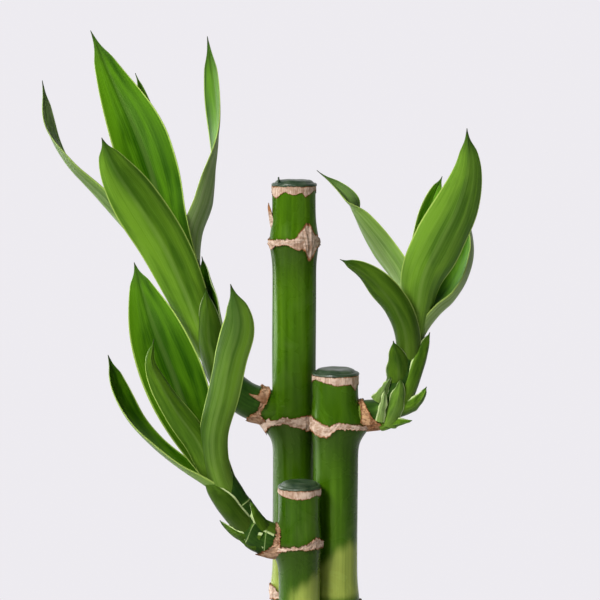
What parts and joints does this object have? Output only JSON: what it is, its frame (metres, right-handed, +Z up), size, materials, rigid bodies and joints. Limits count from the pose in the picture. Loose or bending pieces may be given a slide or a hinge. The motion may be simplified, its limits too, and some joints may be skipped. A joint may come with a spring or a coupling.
{
  "type": "lucky bamboo plant in a pot",
  "caption": "Potted lucky bamboo: cut green canes of different lengths with wax-sealed tops and leafy side shoots, standing in soil in a round pot",
  "frame": {"origin": "middle of the pot's flat underside", "axes": "+Z up along the canes, +X to the right of the leafy view, -Y towards the viewer"},
  "size_m": [0.1385, 0.084, 0.2642],
  "materials": {
    "pot": "satin",
    "soil": "matte",
    "cane": "satin",
    "wax": "satin",
    "shoot": "satin",
    "leaf": "satin"
  },
  "bodies": {
    "root": {"pot": "pot", "soil": "soil", "cane_tall": "cane", "cane_middle": "cane", "cane_short": "cane", "wax_cap_tall": "wax", "wax_cap_middle": "wax", "wax_cap_short": "wax", "shoot_upper_left": "shoot", "shoot_lower_left": "shoot", "shoot_right": "shoot", "leaf_upper_left_spear": "leaf", "leaf_upper_left_big_back": "leaf", "leaf_upper_left_twisted": "leaf", "leaf_upper_left_outer_left": "leaf", "leaf_upper_left_big_front": "leaf", "leaf_upper_left_short_back": "leaf", "leaf_upper_left_short_front": "leaf", "leaf_lower_left_big_back": "leaf", "leaf_lower_left_outer_left": "leaf", "leaf_lower_left_curled": "leaf", "leaf_lower_left_short_back": "leaf", "leaf_lower_left_tall_front": "leaf", "leaf_right_spear": "leaf", "leaf_right_big_front": "leaf", "leaf_right_twisted": "leaf", "leaf_right_outer_right": "leaf", "leaf_right_outer_left": "leaf", "leaf_right_short_back": "leaf", "leaf_right_short_front": "leaf"}
  },
  "joints": []
}
